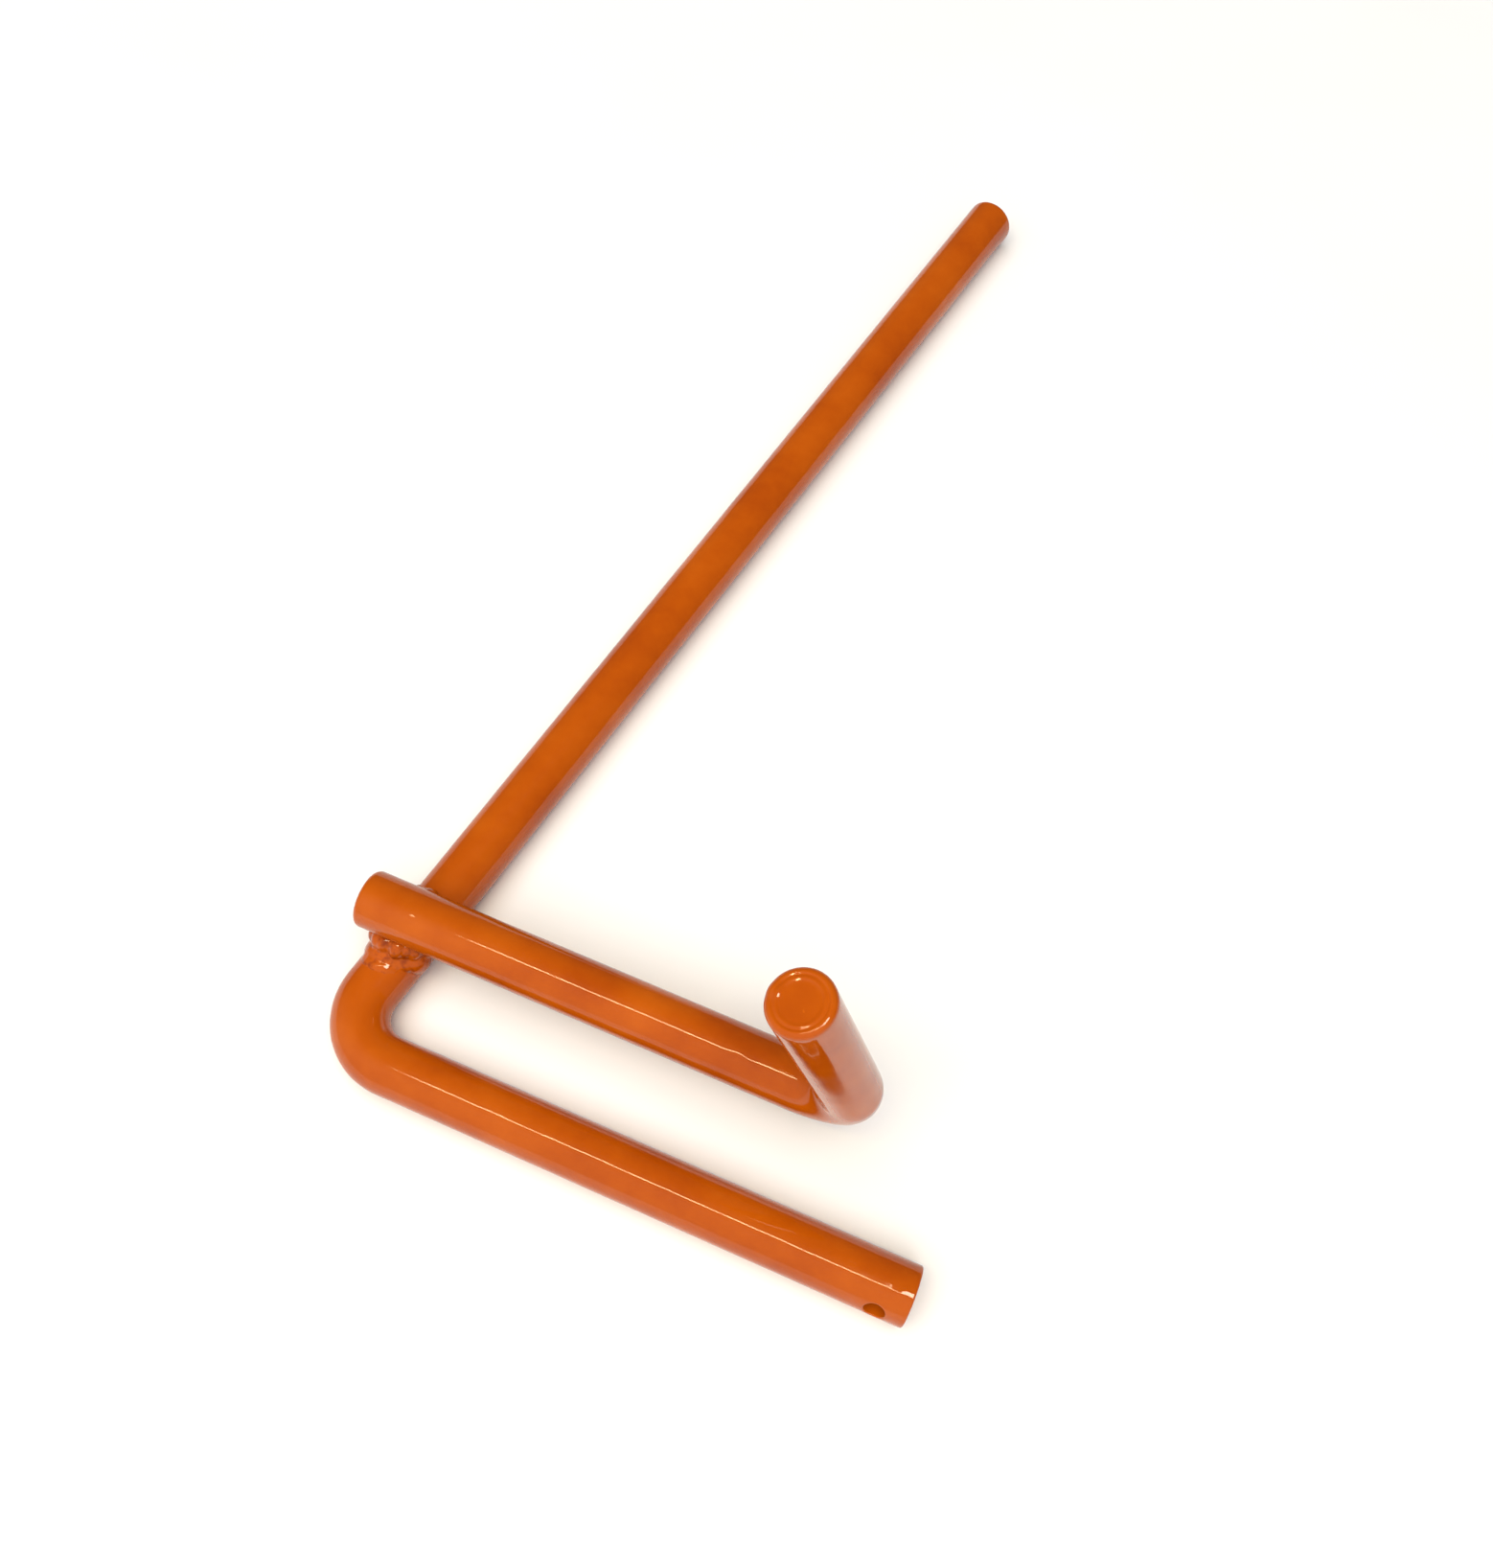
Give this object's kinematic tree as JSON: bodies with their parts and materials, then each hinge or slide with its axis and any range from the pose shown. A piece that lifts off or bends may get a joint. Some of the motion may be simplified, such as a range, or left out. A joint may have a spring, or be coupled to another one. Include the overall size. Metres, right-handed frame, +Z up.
{
  "type": "bent round-bar pivot lever",
  "caption": "Orange enamelled hand lever of bent round steel bar: a long shaft with a short pivot arm, and a hook bar with an upright peg welded across it.",
  "frame": {"origin": "middle of the footprint's bounding box, on the plane the lever bar lies on", "axes": "+X along the pivot arm towards its cross hole, +Y across it towards the shaft's end, +Z up along the peg's side, away from the plane the lever lies on"},
  "size_m": [0.213, 0.4654, 0.1288],
  "materials": {
    "bar_enamel": "thick gloss orange enamel on round steel bar, slight orange peel, small runs at the ends",
    "weld_enamel": "the same gloss orange enamel over rippled weld beads, darker where it pools"
  },
  "bodies": {
    "root": {"lever_bar": "bar_enamel", "hook_bar": "bar_enamel", "weld_front": "weld_enamel", "weld_rear": "weld_enamel"}
  },
  "joints": []
}
